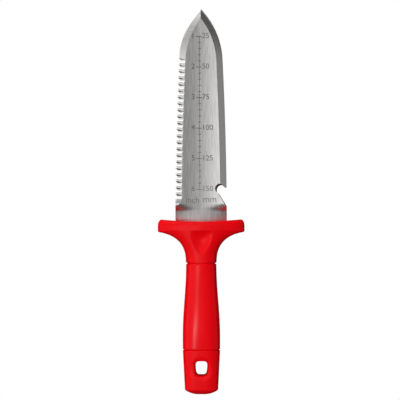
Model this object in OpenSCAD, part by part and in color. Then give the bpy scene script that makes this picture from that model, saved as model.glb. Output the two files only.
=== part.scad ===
// Digging knife style hand trowel: a dished steel blade, ground and serrated,
// in a moulded handle with a cross guard.
// It lies on its back: +X to the right, +Y towards the point, +Z up out of the
// hollow side of the blade. The origin is under the middle of its outline.

/* [Blade] */
// Length of blade that shows in front of the guard
blade_len = 174.3; // [145:0.1:209]
// Width of the blade at the guard
blade_base_w = 42; // [35:0.1:50.4]
// Width of the blade where the curve of the point begins
blade_fore_w = 35.7; // [29.7:0.1:41]
// Length of the curved point
point_len = 41.7; // [34:0.1:50]
// Thickness of the sheet
sheet_t = 2.5; // [2:0.1:3]
// Radius of the hollow across the blade
dish_r = 66; // [55:1:80]
// Length over which the raised sides come down to the flat base
dish_fade = 7; // [6:0.5:10]
// Flat length between the hollow and the guard
dish_gap = 8; // [6:0.5:10]

/* [Edges] */
// Width of the ground bevel
bevel_w = 5.3; // [4.4:0.1:6.4]
// Width of the honed strip along the edge
hone_w = 0.9; // [0.7:0.1:1.1]
// Thickness left at the very edge
edge_t = 0.3; // [0.2:0.05:0.5]
// Number of serrations on the left edge
tooth_count = 22; // [10:1:24]
// Distance from one serration to the next
tooth_pitch = 5.285; // [4.4:0.005:5.6]
// Radius of the wheel that cuts a serration
tooth_r = 2.4; // [2:0.1:2.6]
// Height of a serration's axis over the back at the edge, as a share of the wheel's radius
tooth_rise = 0.67; // [0.62:0.01:0.72]
// Distance from the point to the first serration
tooth_start = 42.9; // [36:0.1:46]
// Distance from the point to where the left bevel has run out
left_bevel_end = 161.9; // [158:0.1:165]
// Length of the left bevel's run out
left_runout = 7.4; // [6:0.1:9]

/* [Twine notch] */
// Distance from the point to the centre of the notch
notch_at = 148.8; // [140:0.1:152]
// Radius of the notch
notch_r = 3.6; // [3:0.1:4.3]
// Distance from the blade's edge to the centre of the notch
notch_in = 4.3; // [3.6:0.1:5.1]
// Length of the slanted run in from the edge
notch_ramp = 12.5; // [10.5:0.1:15]
// Sideways lean of the sharpened wall through the sheet
notch_lean = 2.3; // [1.9:0.1:2.7]
// Sideways lean of the slanted wall through the sheet
notch_draft = 0.65; // [0.5:0.05:0.8]

/* [Tang] */
// Width of the tang
tang_w = 14; // [11.7:0.1:15]
// Length of the tang behind the shoulders
tang_len = 88; // [73:1:95]
// Diameter of the locking holes in the tang
tang_hole_d = 6.5; // [5:0.1:8]
// Depth of the blade's shoulders in the guard
shoulder_in = 6; // [4:0.5:8]

/* [Guard] */
// Width across the guard
guard_w = 70.9; // [60:0.1:85]
// Thickness of the guard at its middle
guard_t = 24; // [22:0.5:28]
// Thickness of the guard at its ends
guard_tip_t = 17; // [14:0.5:20]
// Depth of the guard at its middle, from the front face to the end of the flare
guard_depth = 8.4; // [7.5:0.1:9]
// Length of the straight part of the guard's ends
guard_end_l = 4.2; // [3.5:0.1:5]
// Width that the slanted front corners take off each end
guard_corner = 2.9; // [2.4:0.1:3.5]
// Radius of the guard's front edge
front_r = 2.6; // [2:0.1:3]
// Hollow of the guard's front edge
guard_bow = 1.6; // [1:0.1:1.8]
// Length of the guard and neck
neck_len = 34.2; // [30:0.1:38]
// Width of the neck at the front groove
neck_w = 24.8; // [23:0.1:28]
// Depth of the thumb recess
thumb_depth = 2; // [1.6:0.1:2.4]
// Width of the thumb recess, at its front
thumb_w = 19.6; // [17:0.1:22]
// Length of the thumb recess, which narrows to a round rear
thumb_l = 19.4; // [17:0.1:22]
// Distance from the guard's front to the thumb recess
thumb_start = 7.4; // [6.5:0.1:8.5]

/* [Grip] */
// Length of the soft grip, from groove to groove
grip_len = 70.6; // [59:0.1:85]
// Widest width of the grip
grip_w = 30.7; // [27:0.1:36]
// Thickness of the grip at its widest
grip_t = 24; // [22:0.1:28]
// Edge radius on each side of a groove
groove_r = 0.8; // [0.6:0.05:1]

/* [Butt cap] */
// Length of the butt cap
cap_len = 36.1; // [32:0.1:42]
// Width of the cap at its rear
cap_w = 27.2; // [24:0.1:30]
// Thickness of the cap at its rear
cap_t = 19; // [17:0.5:22]
// Length of the rounding at the butt
butt_l = 3.8; // [3.2:0.1:4.6]
// Width that the rounding takes off each side
butt_in = 8.4; // [7:0.1:9.5]
// Width of the hanging hole at its front end, half way through the cap
hang_w = 10.1; // [8.4:0.1:12]
// Width of the hanging hole at its rear end
hang_rear_w = 8.3; // [7:0.1:10]
// Length of the hanging hole
hang_len = 10.6; // [8.8:0.1:12.7]
// Corner radius of the hanging hole
hang_r = 2.6; // [2:0.1:3.1]
// How much the hole's walls stand back at the cap's faces, for the mould's draft
hang_draft = 0.8; // [0.6:0.1:1]
// Depth of the shallow hollow round the hanging hole
hang_dip_depth = 1; // [0.8:0.1:1.2]
// How far that hollow reaches round the hole
hang_dip_reach = 5; // [4:0.1:6]
// Distance from the butt to the rear end of the hanging hole
hang_at = 15.9; // [13.5:0.1:17.5]

/* [Core] */
// Width of the core's bar
core_w = 18; // [17:0.1:19]
// Thickness of the core's bar
core_t = 13; // [11:0.1:14]
// How far the core's collars stand out of the bar
collar_h = 1.6; // [1.2:0.1:2]
// Number of collars
collar_count = 4; // [2:1:5]
// Clearance round the blade's base in the guard
seat_gap = 0.15; // [0.05:0.05:0.2]

/* [Hidden] */
$fn = 64;

// Places along the handle and blade
total_len = blade_len + neck_len + grip_len + cap_len;
y_tip = total_len / 2;
y_front = y_tip - blade_len;
y_groove_front = y_front - neck_len;
y_groove_rear = y_groove_front - grip_len;
y_butt = y_groove_rear - cap_len;
y_shoulder = y_front - shoulder_in;

// Heights
z_mid = guard_t / 2;
z_flat = z_mid + sheet_t / 2;
y_flat = y_front + dish_gap;

// The blade's outline: a long arc that leaves the guard straight, then the arc of the
// point, which is tangent to it
side_l = blade_len - point_len;
side_in = (blade_base_w - blade_fore_w) / 2;
side_r = (side_l * side_l + side_in * side_in) / (2 * side_in);
side_a = asin(side_l / side_r);
side_n = [cos(side_a), sin(side_a)];
to_start = [blade_fore_w / 2, -point_len];
point_r = (to_start * to_start) / (2 * (side_n * to_start));
arc_centre = [0, y_tip] + to_start - point_r * side_n;
point_a = atan2(y_tip - arc_centre[1], -arc_centre[0]);

// Heights of the hollow face and of the back, across the blade. The middle lies level with the
// flat base, and the sides rise from it round an axis along the blade.
function rise(x, r) = r - sqrt(r * r - x * x);
function face_z(x) = z_flat + rise(x, dish_r);
function back_z(x) = z_flat - sheet_t + rise(x, dish_r + sheet_t);

// A place on the right edge, s from the point along the blade, as [place, outward normal]
function edge_turn(s) = asin((blade_len - s) / side_r);
function edge_at(s) =
    let (a = edge_turn(s))
    [[blade_base_w / 2 - side_r * (1 - cos(a)), y_tip - s], [cos(a), sin(a)]];
function arc_at(a) = [arc_centre + point_r * [cos(a), sin(a)], [cos(a), sin(a)]];

// Cross section of what is ground away at an edge place. depth 1 is the full bevel, 0 is none.
function ground_section(at, depth, out = 30, high = 24, low = 14) =
    let (
        e = at[0],
        n = at[1],
        inner = e - n * bevel_w * depth,
        hone = e - n * hone_w * depth,
        z_low = mix(face_z(e[0]) + 0.1, back_z(e[0]) + edge_t, depth),
        z_in = face_z(inner[0]),
        z_hone = z_low + (z_in - z_low) * hone_w / bevel_w + 0.1 + 0.15 * depth,
        past = inner + (inner - hone) * 0.6,
        z_past = z_in + (z_in - z_hone) * 0.6 + 0.4 * (1 - depth)
    )
    [
        [e[0] + n[0] * out, e[1] + n[1] * out, z_low + high],
        [e[0] + n[0] * out, e[1] + n[1] * out, z_low - low],
        [e[0], e[1], z_low - low],
        [e[0], e[1], z_low],
        [hone[0], hone[1], z_hone],
        [past[0], past[1], z_past],
    ];

// Joins a row of closed rings of points into one solid. Flat ends are fans.
module skin(rings) {
    m = len(rings[0]);
    last = len(rings) - 1;
    points = [for (r = rings) for (p = r) p];
    sides = [
        for (j = [0 : last - 1], i = [0 : m - 1])
            let (a = j * m + i, b = j * m + (i + 1) % m)
            each [[a, b + m, b], [a, a + m, b + m]]
    ];
    ends = [
        for (i = [1 : m - 2]) each [[0, i, i + 1], [last * m, last * m + i + 1, last * m + i]]
    ];
    polyhedron(points = points, faces = concat(sides, ends), convexity = 10);
}

// Half of a closed handle section is lens() high over its width, across() spreads its points
ring_half = 24;
function across(k) = sin(90 * (2 * k / ring_half - 1));
function lens(u, n) = pow(max(0, 1 - pow(abs(u), n)), 1 / n);
function mix(a, b, f) = a + (b - a) * f;
function ease(f) = (1 - cos(180 * max(0, min(1, f)))) / 2;

// A closed ring round the handle, at height y at its middle. bend moves its ends along Y, tip_t is
// its half thickness at its ends, and hollow says what is pressed into it: "thumb" or "hang".
function ring(half_w, half_t, n, y, bend = 0, tip_t = undef, hollow = "") = [
    for (k = [0 : 2 * ring_half - 1])
        let (
            u = across(k <= ring_half ? k : 2 * ring_half - k),
            t = mix(half_t, is_undef(tip_t) ? half_t : tip_t, pow(abs(u), 1.5)),
            z = t * lens(u, n),
            p = [half_w * u, y + bend * u * u]
        )
        k <= ring_half
            ? [p[0], p[1], z_mid + z - dip(p, hollow)]
            : [p[0], p[1], z_mid - z + (hollow == "hang" ? hang_dip(p) : 0)]
];

// Depths of the thumb recess and of the shallow hollow round the hanging hole
// The recess has a crisp straight front and gets narrower and shallower to its round rear.
function thumb_dip(p) =
    let (f = (y_front - thumb_start - p[1]) / thumb_l)
    f <= 0 || f >= 1 ? 0
    : let (u = p[0] / (thumb_w / 2 * pow(1 - pow(f, 1.5), 0.55)))
      thumb_depth * max(0, 1 - u * u) * sin(180 * pow(f, 0.65));
hang_mid = [0, y_butt + hang_at + hang_len / 2];
function hang_dip(p) =
    let (
        u = p[0] / (hang_w / 2 + hang_dip_reach),
        v = (p[1] - hang_mid[1]) / (hang_len / 2 + hang_dip_reach)
    )
    hang_dip_depth * pow(max(0, 1 - u * u - v * v), 1.3);

function dip(p, hollow) = hollow == "thumb" ? thumb_dip(p) : hollow == "hang" ? hang_dip(p) : 0;

// Ends of a moulding are rounded off where they meet in a groove
function groove_inset(a) = groove_r * (1 - cos(a));

module handle_skin(rings) {
    m = ring_half;
    points = [for (r = rings) for (p = r) p];
    last = (len(rings) - 1) * 2 * m;
    sides = [
        for (j = [0 : len(rings) - 2], i = [0 : 2 * m - 1])
            let (a = j * 2 * m + i, b = j * 2 * m + (i + 1) % (2 * m))
            each [[a, b + 2 * m, b], [a, a + 2 * m, b + 2 * m]]
    ];
    // An end is a ladder between its upper and lower half
    rungs = [for (i = [0 : m - 1]) [i, i + 1, 2 * m - i - 1, (2 * m - i) % (2 * m)]];
    ladder = [
        for (q = rungs)
            each concat(
                q[1] == q[2] ? [] : [[q[0], q[2], q[1]]],
                q[0] == q[3] ? [] : [[q[0], q[3], q[2]]]
            )
    ];
    start = ladder;
    end = [for (t = ladder) [last + t[0], last + t[2], last + t[1]]];
    polyhedron(points = points, faces = concat(sides, start, end), convexity = 10);
}

// ---------- blade ----------

// The pressed sheet before its outline is cut, as rings from the shoulders to beyond the point.
// press() is how far the sides are up: not on the flat base, and fully along the hollow.
blank_half = blade_base_w / 2 + 2;
press_steps = 10;
function press(y) = ease((y - y_flat) / dish_fade);
function sheet_x(k) = blank_half * (2 * (k - 1) / (ring_half - 2) - 1);
function sheet_point(k, y) =
    k == 0 || k == ring_half
        ? [(k == 0 ? -1 : 1) * (blank_half + 0.5), y,
           z_flat - sheet_t / 2 + press(y) * rise(blank_half, dish_r + sheet_t / 2)]
    : k < ring_half
        ? [sheet_x(k), y, z_flat + press(y) * rise(sheet_x(k), dish_r)]
        : let (x = sheet_x(2 * ring_half - k))
          [x, y, z_flat - sheet_t + press(y) * rise(x, dish_r + sheet_t)];
module pressed_sheet() {
    stations = concat(
        [y_shoulder],
        [for (i = [0 : press_steps]) y_flat + dish_fade * i / press_steps],
        [y_tip + 2]
    );
    handle_skin([for (y = stations) [for (k = [0 : 2 * ring_half - 1]) sheet_point(k, y)]]);
}

// Everything outside the right edge, with the bevel. The bevel has run out at run_end.
module ground_away(run_end, run_len) {
    run_steps = 6;
    side_steps = 8;
    point_steps = 20;
    run_start = run_end - run_len;
    skin(concat(
        [ground_section(edge_at(blade_len + shoulder_in + 1), 0)],
        [for (i = [0 : run_steps]) let (f = i / run_steps)
            ground_section(edge_at(run_end - run_len * f), sqrt(1 - pow(1 - f, 2)))],
        [for (i = [1 : side_steps])
            ground_section(edge_at(mix(run_start, point_len, i / side_steps)), 1)],
        [for (i = [1 : point_steps])
            ground_section(arc_at(mix(side_a, point_a + 8, i / point_steps)), 1)]
    ));
}

// One serration: a round groove that runs in from the right edge and out on the hollow face
module tooth_groove(s) {
    e = edge_at(s)[0];
    n = edge_at(s)[1];
    inner = e - n * bevel_w;
    low = back_z(e[0]) + tooth_r * tooth_rise;
    high = face_z(inner[0]) + tooth_r;
    lean = atan((high - low) / bevel_w);
    translate([e[0], e[1], low]) rotate([0, 0, edge_turn(s)]) rotate([0, lean - 90, 0])
        translate([0, 0, -tooth_r]) cylinder(r = tooth_r, h = bevel_w + 5 * tooth_r);
}

// The notch that cuts twine: a through cut with a slanted run in, a beak that stays in front of
// it, and a round wall that leans through the sheet, sharpened from the back
beak_at = 0.55;
module twine_notch() {
    e = edge_at(notch_at)[0];
    ramp_end = edge_at(notch_at + notch_ramp)[0];
    centre = [e[0] - notch_in, e[1]];
    ramp_top = centre - [notch_r - 0.02, 0];
    beyond = ramp_end + (ramp_end - ramp_top) / 2;
    beak = centre[1] + notch_r * beak_at;
    z_back = back_z(ramp_top[0]);
    translate([0, 0, z_back]) {
        lean_by([-notch_draft / sheet_t, 0]) translate([0, 0, -2 * sheet_t])
            linear_extrude(height = 8 * sheet_t)
                polygon([ramp_top, beyond, [beyond[0], beak], [centre[0], beak], centre]);
        translate([centre[0], centre[1], -2 * sheet_t]) cylinder(r = notch_r, h = 8 * sheet_t);
        translate(centre) lean_by(notch_lean / sheet_t / sqrt(2) * [-1, 0.9])
            translate([0, 0, -1.5 * sheet_t]) cylinder(r = notch_r + 0.05, h = 5 * sheet_t);
    }
}

// Leans what stands on it, by so much along X and Y for each unit up
module lean_by(slope) {
    multmatrix([[1, 0, slope[0], 0], [0, 1, slope[1], 0], [0, 0, 1, 0], [0, 0, 0, 1]]) children();
}

module tang_plate() {
    y0 = y_shoulder - tang_len;
    half = tang_w / 2;
    nose = tang_w / 4;
    root = tang_w / 5;
    difference() {
        translate([0, 0, z_flat - sheet_t]) linear_extrude(height = sheet_t)
            polygon([
                [-half - root, y_shoulder], [-half - root, y_shoulder - root],
                [-half, y_shoulder - 2 * root], [-half, y0 + nose], [-half + nose, y0],
                [half - nose, y0], [half, y0 + nose], [half, y_shoulder - 2 * root],
                [half + root, y_shoulder - root], [half + root, y_shoulder],
            ]);
        for (f = [0.4, 0.8])
            translate([0, y_shoulder - tang_len * f, z_flat - 2 * sheet_t])
                cylinder(d = tang_hole_d, h = 3 * sheet_t);
    }
}

module blade() {
    color("silver") union() {
        difference() {
            pressed_sheet();
            ground_away(notch_at + 3, 5);
            mirror([1, 0, 0]) {
                ground_away(left_bevel_end, left_runout);
                for (i = [0 : tooth_count - 1]) tooth_groove(tooth_start + i * tooth_pitch);
            }
            twine_notch();
        }
        tang_plate();
    }
}

// ---------- handle ----------

// Sizes that two mouldings share where they meet
neck_t = grip_t * 0.86;
rear_w = grip_w - 0.2;
rear_t = grip_t * 0.96;

// Roundness of the handle's sections: 2 is an ellipse, and more is squarer
front_n = 2.5;
guard_n = 3.6;
rear_n = 3;
cap_n = 3.6;
core_in_guard = 16;
core_in_cap = 5;
core_front = y_groove_front + core_in_guard;
core_rear = y_groove_rear - core_in_cap;

// A bar with its long corners taken off
module bar(w, t, y0, y1) {
    cut = t / 4;
    translate([0, y1, z_mid]) rotate([90, 0, 0]) linear_extrude(height = y1 - y0)
        polygon([
            [-w / 2, -t / 2 + cut], [-w / 2 + cut, -t / 2],
            [w / 2 - cut, -t / 2], [w / 2, -t / 2 + cut],
            [w / 2, t / 2 - cut], [w / 2 - cut, t / 2],
            [-w / 2 + cut, t / 2], [-w / 2, t / 2 - cut],
        ]);
}

// The core's outside, which the guard, grip and cap are moulded round
module core_form() {
    bar(core_w, core_t, core_rear, core_front);
    step = grip_len / collar_count;
    for (i = [0 : collar_count - 1])
        let (y = y_groove_front - step * (i + 0.5))
            bar(core_w + 2 * collar_h, core_t + 2 * collar_h, y - step / 6, y + step / 6);
}

module tang_core() {
    color("dimgray") difference() {
        core_form();
        tang_plate();
    }
}

// Rings of the guard from the front groove forward, as [half width, y at the ends, y at the
// middle, inset of the thickness, share of the way from the neck's section to the guard's].
// The flare is a cubic curve that leaves the neck straight and meets the guard's ends.
flare = [
    [neck_w / 2 + 0.25, 2],
    [neck_w / 2 + 0.3, neck_len - guard_depth - 9],
    [neck_w / 2 + 9.5, neck_len - guard_depth - 2.4],
    [guard_w / 2 - 0.8, neck_len - guard_depth - 0.3],
];
flare_steps = 21;
function bezier(p, t) =
    pow(1 - t, 3) * p[0] + 3 * t * pow(1 - t, 2) * p[1] + 3 * t * t * (1 - t) * p[2] + pow(t, 3) * p[3];
flare_top = neck_len - guard_depth + 1.9;
end_low = neck_len - guard_depth + 0.8;
end_high = end_low + guard_end_l;
neck_rings = [
    for (a = [90 : -30 : 0]) let (g = groove_inset(a), d = groove_r * (1 - sin(a)))
        [neck_w / 2 - g, d, d, g, 0]
];
flare_rings = [
    for (i = [0 : flare_steps]) let (t = i / flare_steps, b = bezier(flare, t))
        [b[0], b[1], mix(2, flare_top, pow(t, 1.1)), 0, pow(t, 1.6)]
];
end_rings = [
    [guard_w / 2 - 0.2, mix(flare[3][1], end_low, 0.5), mix(flare_top, neck_len - front_r, 0.1), 0, 1],
    for (f = [0, 0.35, 0.7, 1])
        [guard_w / 2, mix(end_low, end_high, f),
         mix(flare_top, neck_len - front_r, mix(0.25, 1, f)), 0, 1],
];
front_rings = [
    for (a = [22.5 : 22.5 : 90])
        [guard_w / 2 - guard_corner * (1 - cos(a)), mix(end_high, neck_len + guard_bow, sin(a)),
         neck_len - front_r * (1 - sin(a)), front_r * (1 - cos(a)), 1]
];
guard_rings = concat(neck_rings, flare_rings, end_rings, front_rings);

module guard() {
    color("red") difference() {
        handle_skin([
            for (r = guard_rings)
                ring(r[0], mix(neck_t, guard_t, r[4]) / 2 - r[3], mix(front_n, guard_n, r[4]),
                    y_groove_front + r[2], r[1] - r[2],
                    mix(neck_t, guard_tip_t, r[4]) / 2 - r[3], "thumb")
        ]);
        core_form();
        tang_plate();
        translate([-blade_base_w / 2 - 2 * seat_gap, y_shoulder, z_flat - sheet_t])
            cube([blade_base_w + 4 * seat_gap, shoulder_in + guard_bow + 5, sheet_t]);
    }
}

// Rings of the grip from its front groove to its rear one, as [share of its length, inset].
// It swells from the neck to its widest at swell_end, and thins a little towards the cap.
swell_end = 0.85;
function swell(f) = ease(f / swell_end);
function thin(f) = (grip_t - rear_t) / 2 * pow(f, 4);
grip_steps = 16;
grip_rings = concat(
    [for (a = [90 : -30 : 0]) [groove_r * (1 - sin(a)) / grip_len, groove_inset(a)]],
    [for (i = [1 : grip_steps - 1]) [mix(groove_r, grip_len - groove_r, i / grip_steps) / grip_len, 0]],
    [for (a = [0 : 30 : 90]) [1 - groove_r * (1 - sin(a)) / grip_len, groove_inset(a)]]
);

module grip_sleeve() {
    color("crimson") difference() {
        handle_skin([
            for (i = [len(grip_rings) - 1 : -1 : 0])
                let (
                    f = grip_rings[i][0],
                    inset = grip_rings[i][1],
                    half_w = (mix(neck_w, grip_w, swell(f)) - (grip_w - rear_w) * f) / 2,
                    half_t = mix(neck_t, grip_t, swell(f)) / 2 - thin(f)
                )
                ring(half_w - inset, half_t - inset, mix(front_n, rear_n, f),
                    y_groove_front - grip_len * f)
        ]);
        core_form();
    }
}

// Rings of the cap from the rear groove to the butt, as [distance from the groove, inset].
// It tapers, and its end is rounded off, by butt_flat of the side's inset on the faces.
cap_steps = 14;
butt_flat = 0.6;
function butt_inset(d) = butt_in * (1 - pow(1 - pow(d, 1.4), 1 / 1.4));
cap_rings = concat(
    [for (a = [90 : -30 : 0]) [groove_r * (1 - sin(a)), groove_inset(a)]],
    [for (i = [1 : cap_steps]) [mix(groove_r, cap_len - butt_l, i / cap_steps), 0]],
    [for (d = [0.25, 0.5, 0.7, 0.85, 0.95, 1]) [cap_len - butt_l * (1 - d), butt_inset(d)]]
);

// The hole is narrowest half way through, where the halves of the mould met
module hang_hole() {
    high = cap_t / 2 + 1;
    grow = hang_draft * high / (cap_t / 2);
    y_row = hang_len / 2 - hang_r;
    for (side = [0, 1])
        translate([0, hang_mid[1], z_mid]) mirror([0, 0, side]) translate([0, 0, -0.05]) hull() {
            for (x = [-1, 1]) {
                translate([x * (hang_w / 2 - hang_r), y_row])
                    cylinder(r1 = hang_r, r2 = hang_r + grow, h = high, $fn = 32);
                translate([x * (hang_rear_w / 2 - hang_r), -y_row])
                    cylinder(r1 = hang_r, r2 = hang_r + grow, h = high, $fn = 32);
            }
        }
}

module butt_cap() {
    color("red") difference() {
        handle_skin([
            for (i = [len(cap_rings) - 1 : -1 : 0])
                let (
                    d = cap_rings[i][0],
                    inset = cap_rings[i][1],
                    f = d / (cap_len - butt_l),
                    at_butt = d > cap_len - butt_l
                )
                ring(mix(rear_w, cap_w, f) / 2 - inset,
                    mix(rear_t, cap_t, f) / 2 - inset * (at_butt ? butt_flat : 1),
                    mix(rear_n, cap_n, min(1, f)), y_groove_rear - d, hollow = "hang")
        ]);
        core_form();
        hang_hole();
    }
}

blade();
tang_core();
guard();
grip_sleeve();
butt_cap();
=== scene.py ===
"""Digging knife trowel: its visible surfaces, materials and studio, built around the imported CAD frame."""

import math

import bmesh
import bpy
import numpy as np
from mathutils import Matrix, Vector


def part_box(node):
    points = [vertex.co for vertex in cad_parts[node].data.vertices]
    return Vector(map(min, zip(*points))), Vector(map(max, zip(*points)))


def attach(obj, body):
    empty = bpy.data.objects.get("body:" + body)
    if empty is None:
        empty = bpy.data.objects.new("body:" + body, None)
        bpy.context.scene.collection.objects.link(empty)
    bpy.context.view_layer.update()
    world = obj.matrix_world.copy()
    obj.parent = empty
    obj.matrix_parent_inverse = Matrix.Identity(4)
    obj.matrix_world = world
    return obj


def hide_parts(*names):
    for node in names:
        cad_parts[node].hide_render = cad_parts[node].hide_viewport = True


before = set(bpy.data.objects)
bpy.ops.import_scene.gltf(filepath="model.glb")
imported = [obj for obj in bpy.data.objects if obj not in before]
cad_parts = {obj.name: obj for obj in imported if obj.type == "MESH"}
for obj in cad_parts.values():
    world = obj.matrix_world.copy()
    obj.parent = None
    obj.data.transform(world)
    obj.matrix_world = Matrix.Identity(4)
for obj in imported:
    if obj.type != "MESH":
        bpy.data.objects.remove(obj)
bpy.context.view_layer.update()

bl_info = {
    "name": "Digging Knife Trowel",
    "version": (1, 0, 0),
    "blender": (4, 5, 0),
    "location": "3D View > Sidebar > Trowel",
    "description": "Blade, depth scale, moulded handle and studio of a digging knife trowel",
    "category": "Add Mesh",
}

MM = 0.001
BODY = "root"


# ---------- places ----------


def extent(node):
    """Lowest and highest corner of a CAD node as arrays, in metres."""
    low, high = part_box(node)
    return np.array(low), np.array(high)


BLADE_HIGH = extent("blade")[1]
GUARD_LOW, GUARD_HIGH = extent("guard")
GRIP_LOW, GRIP_HIGH = extent("grip_sleeve")
CAP_LOW = extent("butt_cap")[0]

# The tool lies along Y, with its point at the front. Its middle plane is Z_MID.
Z_MID = float(GUARD_LOW[2] + GUARD_HIGH[2]) / 2
Y_TIP = float(BLADE_HIGH[1])
Y_GROOVE_FRONT = float(GRIP_HIGH[1])
Y_GROOVE_REAR = float(GRIP_LOW[1])
Y_REAR = float(CAP_LOW[1])
# The guard's front edge bows forward from its middle, at Y_FRONT, to its ends.
GUARD_BOW = 1.6 * MM
Y_FRONT = float(GUARD_HIGH[1]) - GUARD_BOW
# The blade is flat for DISH_GAP in front of the guard, and then its hollow fades in.
DISH_GAP, DISH_FADE = 8 * MM, 7 * MM
HOLE_Y = Y_REAR + 21.2 * MM


# ---------- settings ----------


def linear(hex_colour):
    """An sRGB hex colour such as "E0101C" as linear red, green and blue."""
    coded = np.array([int(hex_colour[i : i + 2], 16) for i in (0, 2, 4)]) / 255
    return tuple(np.where(coded <= 0.04045, coded / 12.92, ((coded + 0.055) / 1.055) ** 2.4).tolist())


class TROWEL_PG_blade(bpy.types.PropertyGroup):
    sheet: bpy.props.FloatProperty(
        name="Sheet",
        description="Thickness of the blade's sheet",
        default=2.5 * MM,
        unit="LENGTH",
    )
    dish_radius: bpy.props.FloatProperty(
        name="Dish radius",
        description="Radius of the hollow across the blade",
        default=66 * MM,
        unit="LENGTH",
    )
    base_width: bpy.props.FloatProperty(
        name="Base width",
        description="Width of the blade at the guard",
        default=42 * MM,
        unit="LENGTH",
    )
    steel: bpy.props.FloatVectorProperty(
        name="Steel",
        description="Colour of the stainless steel",
        subtype="COLOR",
        default=linear("CECDCC"),
    )
    etch: bpy.props.FloatVectorProperty(
        name="Etching",
        description="Colour of the etched depth scale",
        subtype="COLOR",
        default=linear("55534F"),
    )
    first_mark: bpy.props.FloatProperty(
        name="First mark",
        description="Distance from the point to the 25 mm mark",
        default=23.0 * MM,
        unit="LENGTH",
    )
    digit_height: bpy.props.FloatProperty(
        name="Digit height",
        description="Height of the scale's numbers",
        default=4.3 * MM,
        unit="LENGTH",
    )


class TROWEL_PG_handle(bpy.types.PropertyGroup):
    guard_width: bpy.props.FloatProperty(
        name="Guard width",
        description="Width across the guard",
        default=70.9 * MM,
        unit="LENGTH",
    )
    guard_thickness: bpy.props.FloatProperty(
        name="Guard thickness",
        description="Thickness of the guard at its middle",
        default=24 * MM,
        unit="LENGTH",
    )
    guard_tip: bpy.props.FloatProperty(
        name="Guard ends",
        description="Thickness of the guard at its ends",
        default=17 * MM,
        unit="LENGTH",
    )
    neck_width: bpy.props.FloatProperty(
        name="Neck width",
        description="Width of the neck at the front groove",
        default=24.8 * MM,
        unit="LENGTH",
    )
    grip_width: bpy.props.FloatProperty(
        name="Grip width",
        description="Widest width of the grip",
        default=30.7 * MM,
        unit="LENGTH",
    )
    grip_thickness: bpy.props.FloatProperty(
        name="Grip thickness",
        description="Thickness of the grip at its widest",
        default=24 * MM,
        unit="LENGTH",
    )
    cap_width: bpy.props.FloatProperty(
        name="Cap width",
        description="Width of the butt cap at its rear",
        default=27.2 * MM,
        unit="LENGTH",
    )
    cap_thickness: bpy.props.FloatProperty(
        name="Cap thickness",
        description="Thickness of the butt cap at its rear",
        default=19 * MM,
        unit="LENGTH",
    )
    hard_red: bpy.props.FloatVectorProperty(
        name="Hard red",
        description="Colour of the guard and cap",
        subtype="COLOR",
        default=linear("E0000B"),
    )
    soft_red: bpy.props.FloatVectorProperty(
        name="Soft red",
        description="Colour of the grip",
        subtype="COLOR",
        default=linear("E0000C"),
    )


class TROWEL_PG_stage(bpy.types.PropertyGroup):
    camera_height: bpy.props.FloatProperty(
        name="Camera height",
        description="Distance from the camera to the handle's middle",
        default=1.3,
        unit="LENGTH",
    )
    pixel: bpy.props.FloatProperty(
        name="Pixel",
        description="Size of a picture element at the handle's middle",
        default=0.8183 * MM,
        unit="LENGTH",
    )
    roll: bpy.props.FloatProperty(
        name="Roll",
        description="Turn of the camera about its axis",
        default=math.radians(-0.136),
        unit="ROTATION",
    )
    key_power: bpy.props.FloatProperty(
        name="Strip light",
        description="Power of the strip lamp over the handle",
        default=3.6,
        unit="POWER",
    )
    front_power: bpy.props.FloatProperty(
        name="Front light",
        description="Power of the lamp over the blade, which lights the handle",
        default=1.7,
        unit="POWER",
    )
    fill_power: bpy.props.FloatProperty(
        name="Fill light",
        description="Power of the large soft lamp overhead",
        default=1.0,
        unit="POWER",
    )


# ---------- meshes ----------


MERGE = 1e-6  # points closer than this become one


def add_object(name, data):
    """A new object in the scene, at the origin."""
    made = bpy.data.objects.new(name, data)
    bpy.context.scene.collection.objects.link(made)
    return made


def closed_mesh(name, points, faces):
    """A closed mesh with its doubles merged and its normals outward."""
    mesh = bpy.data.meshes.new(name)
    mesh.from_pydata(points.reshape(-1, 3).tolist(), [], faces.tolist())
    work = bmesh.new()
    work.from_mesh(mesh)
    bmesh.ops.remove_doubles(work, verts=work.verts, dist=MERGE)
    bmesh.ops.recalc_face_normals(work, faces=work.faces)
    work.to_mesh(mesh)
    work.free()
    return mesh


def add_piece(name, points, faces, node_name):
    """A smooth closed piece that rides on the root body and stands for a CAD node."""
    mesh = closed_mesh(name, points, faces)
    mesh.shade_smooth()
    piece = add_object(name, mesh)
    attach(piece, BODY)
    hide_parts(node_name)
    return piece


def evaluated_mesh(made):
    """The mesh that an object's modifiers, or its text, come to."""
    bpy.context.view_layer.update()
    return bpy.data.meshes.new_from_object(made.evaluated_get(bpy.context.evaluated_depsgraph_get()))


def vectors(items, attribute):
    """An attribute of a mesh's points or faces, as an array with a row of three for each."""
    values = np.empty(len(items) * 3, np.float32)
    items.foreach_get(attribute, values)
    return values.reshape(-1, 3)


def node_arrays(name):
    """Points and triangles of a CAD node's mesh, copied out as arrays."""
    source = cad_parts[name].data
    faces = np.empty(len(source.polygons) * 3, np.int32)
    source.polygons.foreach_get("vertices", faces)
    return vectors(source.vertices, "co"), faces.reshape(-1, 3)


def wrapped_quads(rows, columns):
    """Faces of a grid that closes on itself round its columns, as four corners each."""
    row, column = np.meshgrid(np.arange(rows - 1), np.arange(columns), indexing="ij")
    here, after = row * columns + column, row * columns + (column + 1) % columns
    return np.stack([here, after, after + columns, here + columns], axis=-1).reshape(-1, 4)


def mix(a, b, share):
    """The value that lies this share of the way from a to b."""
    return a + (b - a) * share


def quarter(steps):
    """Angles from 0 to a right angle."""
    return np.linspace(0, np.pi / 2, steps)


# ---------- blade surface ----------


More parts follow.
